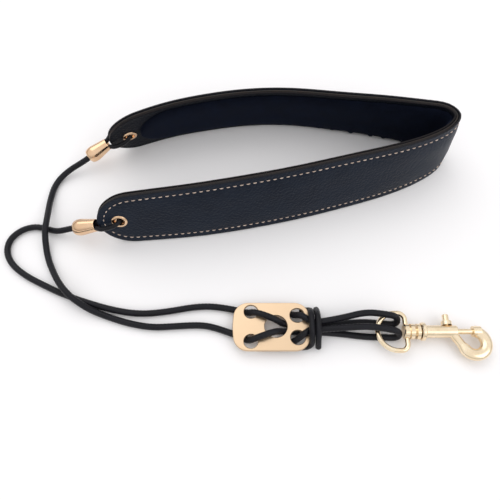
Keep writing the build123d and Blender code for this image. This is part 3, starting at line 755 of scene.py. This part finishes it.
# ---------------------------------------------------------------- stitching
# One lockstitch seam of thick pale thread goes all round the outer face, a little in from its
# edge: each stitch is a short bead of thread, sunk at both ends.
thread, nodes, links, surface = shader("pale_thread", (0.66, 0.54, 0.47), 0.6)
surface.inputs["Sheen Weight"].default_value = 0.2
thread_wear = placed(
    nodes, rubbed, Size=300.0, Dark=(0.54, 0.41, 0.33, 1),
    Pale=(0.76, 0.61, 0.51, 1), Least=0.5, Most=0.7,
)
links.new(thread_wear.outputs["Colour"], surface.inputs["Base Color"])
links.new(thread_wear.outputs["Roughness"], surface.inputs["Roughness"])

seam_end = seam_inset + (tip_length - seam_inset) * (1 - np.cos(np.linspace(0, np.pi / 2, 60)))
seam_long = np.linspace(tip_length, band_length - tip_length, 3000)[1:-1]
seam_s = np.concatenate([seam_end, seam_long, (band_length - seam_end)[::-1]])
seam_half, seam_middle = half_height(seam_s, seam_inset, seam_inset)
seam_s = np.concatenate([seam_s, seam_s[::-1]])
seam_h = np.concatenate([seam_middle + seam_half, (seam_middle - seam_half)[::-1]])
seam_points = on_band(seam_s, np.full_like(seam_s, -2.0), seam_h)
seam_travel = np.concatenate([[0], np.cumsum(np.linalg.norm(np.diff(seam_points, axis=0), axis=1))])
stitch_pitch, stitch_length, thread_d = 4.1 * MM, 2.4 * MM, 0.68 * MM
stitch_count = int(seam_travel[-1] / stitch_pitch)
bead_along = np.linspace(-1, 1, 7)
bead_around = np.linspace(0, 2 * np.pi, 6, endpoint=False)
bead_middle = (np.arange(stitch_count) + 0.5) * seam_travel[-1] / stitch_count
bead_at = bead_middle[:, None] + bead_along[None, :] * stitch_length / 2
bead_s = np.interp(bead_at, seam_travel, seam_s)
bead_h = np.interp(bead_at, seam_travel, seam_h)
arch = np.sqrt(np.maximum(0, 1 - bead_along ** 2))
bead_depth = -2.15 + 0.28 - 0.34 * arch[None, :] + 0 * bead_s
bead_centre = on_band(bead_s, bead_depth, bead_h)
bead_out = on_band(bead_s, bead_depth - 1.0, bead_h) - bead_centre
bead_out /= np.linalg.norm(bead_out, axis=-1)[..., None]
bead_run = np.gradient(bead_centre, axis=1)
bead_run /= np.linalg.norm(bead_run, axis=-1)[..., None]
bead_side = np.cross(bead_out, bead_run)
bead_r = thread_d / 2 * (0.35 + 0.65 * arch)[None, :, None, None]
beads = bead_centre[:, :, None, :] + bead_r * (
    np.cos(bead_around)[None, None, :, None] * bead_side[:, :, None, :]
    + np.sin(bead_around)[None, None, :, None] * bead_out[:, :, None, :]
)
bead_rows, bead_columns = len(bead_along), len(bead_around)
bead_base = (np.arange(stitch_count) * bead_rows * bead_columns)[:, None, None]
row = np.arange(bead_rows - 1)[None, :, None] * bead_columns
column = np.arange(bead_columns)[None, None, :]
following = (column + 1) % bead_columns
bead_faces = np.stack(
    [bead_base + row + column, bead_base + row + following,
     bead_base + row + bead_columns + following, bead_base + row + bead_columns + column], -1
).reshape(-1, 4)
bead_caps = np.concatenate([
    (bead_base[:, :, 0] + np.arange(bead_columns)[::-1][None, :]),
    (bead_base[:, :, 0] + (bead_rows - 1) * bead_columns + np.arange(bead_columns)[None, :]),
])
seam_mesh = bpy.data.meshes.new("band_stitching")
seam_mesh.from_pydata(beads.reshape(-1, 3).tolist(), [], bead_faces.tolist() + bead_caps.tolist())
seam_mesh.polygons.foreach_set("use_smooth", np.ones(len(seam_mesh.polygons), dtype=bool))
seam_mesh.materials.append(thread)
stitching = bpy.data.objects.new("band_stitching", seam_mesh)
bpy.context.collection.objects.link(stitching)
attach(stitching, "strap")

# ---------------------------------------------------------------- eyelets and washers
# A rose gold brass eyelet through each end of the band: its flange shows on the outer face, and
# its barrel is rolled over a washer on the inner face. The end loop of cord runs through it.
rose_gold, nodes, links, surface = shader("rose_gold", (0.83, 0.57, 0.36), 0.16, 1.0)
gold_wear = placed(
    nodes, rubbed, Size=160.0, Dark=(0.80, 0.53, 0.33, 1),
    Pale=(0.86, 0.61, 0.40, 1), Least=0.12, Most=0.26,
)
links.new(gold_wear.outputs["Colour"], surface.inputs["Base Color"])
links.new(gold_wear.outputs["Roughness"], surface.inputs["Roughness"])


def turned(name, centre, axis, profile, material, count=72):
    """Closed ring turned about an axis: each profile point (along, radius) goes round a circle."""
    axis = np.array(axis) / np.linalg.norm(axis)
    sideways = np.cross(axis, (0.0, 0.0, 1.0))
    sideways /= np.linalg.norm(sideways)
    upward = np.cross(sideways, axis)
    angle = np.linspace(0, 2 * np.pi, count, endpoint=False)
    spoke = np.cos(angle)[:, None] * sideways + np.sin(angle)[:, None] * upward
    along, radius = np.array(profile).T * MM
    grid = np.array(centre) + along[:, None, None] * axis + radius[:, None, None] * spoke[None]
    piece = woven_mesh(name, grid, True, False, material)
    piece.data.set_sharp_from_angle(angle=math.radians(40))
    return piece


eyelet_inset = 14.0


def eyelet_place(s):
    """Centre of an eyelet in metres, the outward normal of the band there, and its run."""
    width = band_width - (band_width - band_end_width) * (1 - eyelet_inset / taper_length) ** 2
    s, middle = np.array([s]), np.array([width / 2])
    centre = on_band(s, np.array([0.0]), middle)[0]
    out = on_band(s, np.array([-1.0]), middle)[0] - centre
    ahead = on_band(s + 0.5, np.array([0.0]), middle)[0]
    run = ahead - on_band(s - 0.5, np.array([0.0]), middle)[0]
    return centre, out / np.linalg.norm(out), run / np.linalg.norm(run)


flange_seat = leather_t / 2 + 0.12
eyelet_profile = (
    [(-flange_seat - 0.75, 3.12), (flange_seat - 0.2, 3.12)]
    + [(flange_seat + 0.35, 3.22), (flange_seat + 0.6, 3.45), (flange_seat + 0.7, 3.8),
       (flange_seat + 0.66, 4.3), (flange_seat + 0.5, 4.7), (flange_seat + 0.25, 4.95),
       (flange_seat + 0.02, 5.0), (flange_seat, 4.9), (flange_seat, 3.6),
       (-flange_seat - 0.72, 3.6)]
)
washer_profile = [
    (-flange_seat, 3.62), (-flange_seat, 4.85), (-flange_seat - 0.15, 5.0),
    (-flange_seat - 0.5, 4.9),
    (-flange_seat - 0.7, 4.5), (-flange_seat - 0.7, 3.62),
]
eyelets = {}
for end, s_at in (("front", eyelet_inset), ("back", band_length - eyelet_inset)):
    eyelets[end] = eyelet_place(s_at)
    centre, out, run = eyelets[end]
    flange = turned("eyelet_" + end + "_flange", centre, out, eyelet_profile[::-1], rose_gold)
    washer = turned("eyelet_" + end + "_washer", centre, out, washer_profile, rose_gold)
    for piece, node in ((flange, "eyelet_" + end), (washer, "eyelet_washer_" + end)):
        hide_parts(node)
        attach(piece, "strap")

# The three layers are punched for the eyelets.
punch_r = 3.4
punch_grid = []
for centre, out, run in eyelets.values():
    spin = np.linspace(0, 2 * np.pi, 40, endpoint=False)
    tall = np.cross(out, run)
    spoke = np.cos(spin)[:, None] * run + np.sin(spin)[:, None] * tall
    punch_grid.append(np.stack([
        centre + out * reach_out * MM + spoke * punch_r * MM for reach_out in (-6, 6)
    ]))
for layer in (outer_leather, core, backing):
    for index, grid in enumerate(punch_grid):
        cutter = woven_mesh("punch", grid, False, True, core_rubber)
        hole = layer.modifiers.new("eyelet_hole", "BOOLEAN")
        hole.object = cutter
        hole.operation = "DIFFERENCE"
        hole.solver = "EXACT"
        punched = bpy.data.meshes.new_from_object(
            layer.evaluated_get(bpy.context.evaluated_depsgraph_get())
        )
        layer.modifiers.remove(hole)
        layer.data = punched
        bpy.data.objects.remove(cutter)

# ---------------------------------------------------------------- ferrules and end loops
# A loop of squeezed braid goes from the ferrule over the band's end and through the eyelet. The
# rose gold ferrule is spun brass, a bell with a rounded shoulder that grips loop and cord.
hinge_reach, ferrule_mouth, ferrule_length = 14.6, 2.1, 16.0
ferrule_end = ferrule_mouth + ferrule_length
waist = ferrule_end - 4.6
dip, swing = math.radians(18.0), math.radians(11.0)
ferrule_profile = (
    [(ferrule_mouth + 1.2, 3.3), (ferrule_mouth + 0.1, 3.6), (ferrule_mouth, 3.75),
     (ferrule_mouth + 0.12, 3.9), (ferrule_mouth + 0.4, 3.97)]
    + [(ferrule_mouth + t, 3.97 + 1.43 * (t / 11.2) ** 1.05) for t in np.linspace(1.0, 10.4, 14)]
    + [(waist + 4.6 * math.sin(a), 3.9 + 1.5 * math.cos(a))
       for a in np.linspace(0.0, math.pi / 2, 14)]
    + [(ferrule_end, 3.5), (ferrule_end - 0.25, 2.3), (ferrule_end - 0.6, 2.05),
       (ferrule_end - 6.0, 2.05), (ferrule_end - 7.2, 3.3)]
)
pair = 1.575
stand_off = flange_seat + 0.7 + 1.5 + 0.3
for end, outward in (("front", -1), ("back", 1)):
    centre, out, run = eyelets[end]
    uphill = np.cross(out, run)
    uphill *= np.sign(uphill[2])
    loop_run = run * outward * math.cos(dip) - uphill * math.sin(dip)
    hinge = centre + loop_run * hinge_reach * MM
    away = loop_run * math.cos(swing) - out * math.sin(swing)
    sideways = out * math.cos(swing) + loop_run * math.sin(swing)
    ferrule = turned("ferrule_" + end + "_bell", hinge, away, ferrule_profile[::-1], rose_gold)
    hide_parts("ferrule_" + end)
    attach(ferrule, "strap")
    half_loops = []
    for face in (1, -1):
        half_loops.append([
            hinge / MM + away * (ferrule_mouth + 9.0) + sideways * face * pair,
            hinge / MM + away * (ferrule_mouth + 0.4) + sideways * face * pair,
            centre / MM + loop_run * (hinge_reach - 2.2) + out * face * (stand_off + 0.75),
            centre / MM + out * face * stand_off,
        ])
    loop_line = smooth_run("end_loop_" + end, half_loops[0] + half_loops[1][::-1])
    loop = braided_cord(
        "end_loop_" + end + "_braid", loop_line, 3.0 * MM, 6, 1.6 * MM, 36, cord_black
    )[0]
    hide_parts("end_loop_" + end)
    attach(loop, "strap")

# ---------------------------------------------------------------- snap hook, eye and bolt
# Pale gold plated castings: the eye turns on the hook's base, and the sprung bolt closes the hook
# until it is drawn back by its stud.
hook_gold, nodes, links, surface = shader("pale_gold", (0.96, 0.82, 0.65), 0.24, 1.0)
hook_wear = placed(
    nodes, rubbed, Size=140.0, Dark=(0.88, 0.70, 0.47, 1),
    Pale=(0.95, 0.80, 0.58, 1), Least=0.16, Most=0.3,
)
links.new(hook_wear.outputs["Colour"], surface.inputs["Base Color"])
links.new(hook_wear.outputs["Roughness"], surface.inputs["Roughness"])
for node in ("swivel_eye", "swivel_cap", "hook_body", "bolt", "thumb_stud"):
    refinish(node, hook_gold)
spring_steel, nodes, links, surface = shader("spring_steel", (0.55, 0.55, 0.56), 0.28, 1.0)
for node in ("bolt_spring", "spring_washer"):
    refinish(node, spring_steel)
